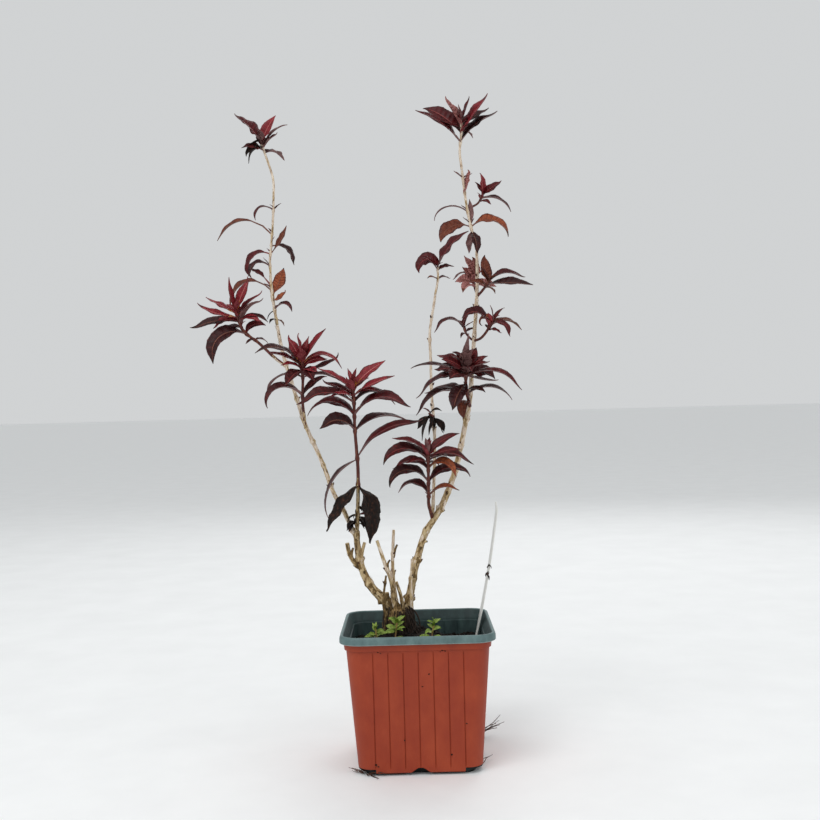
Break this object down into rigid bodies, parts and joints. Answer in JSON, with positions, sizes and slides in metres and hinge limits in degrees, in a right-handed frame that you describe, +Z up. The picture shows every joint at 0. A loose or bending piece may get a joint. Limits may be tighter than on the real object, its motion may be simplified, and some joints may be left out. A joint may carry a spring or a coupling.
{
  "type": "potted weigela shrub",
  "caption": "Young dark-leaved weigela in a square two-tone nursery pot: woody stems, arching opposite leaves in tufts, soil, basal shoots and a blank label.",
  "frame": {"origin": "centre of the pot's flat underside", "axes": "+Z up along the pot's axis, front of the pot and of the plant towards -Y, +X to the right seen from the front"},
  "size_m": [0.2111, 0.091, 0.4024],
  "materials": {
    "pot_clay": "matt brick-red plastic outside, slate green inside and on the rim, with fine upright grooves",
    "soil": "dark crumbly peat compost",
    "label": "blank white plastic strip",
    "bark": "pale straw bark with dark specks, peeling and darker at the foot",
    "leaves": "dark wine-red leaves with paler midribs and mauve-grey undersides",
    "green_shoots": "soft bright green young leaves"
  },
  "bodies": {
    "root": {"pot": "pot_clay", "soil": "soil", "plant_label": "label", "root_crown": "bark", "left_stem": "bark", "left_stub": "bark", "left_tall_stem": "bark", "right_stem": "bark", "slender_stem": "bark", "middle_stub_front": "bark", "middle_stub_back": "bark", "middle_stub_short": "bark", "middle_twig_dark": "bark", "right_cut_stub": "bark", "left_upper_spray": "leaves", "left_top_spray": "leaves", "left_outer_rosette": "leaves", "left_front_rosette": "leaves", "middle_spray": "leaves", "right_lower_spray": "leaves", "slender_dead_leaves": "leaves", "slender_tip_tuft": "leaves", "right_middle_rosette": "leaves", "right_inner_tuft": "leaves", "right_outer_tuft": "leaves", "right_back_tuft": "leaves", "right_high_tuft": "leaves", "right_upper_spray": "leaves", "right_side_tuft": "leaves", "right_top_tuft": "leaves", "seedling_left": "green_shoots", "seedling_middle": "green_shoots", "seedling_right": "green_shoots"}
  },
  "joints": []
}
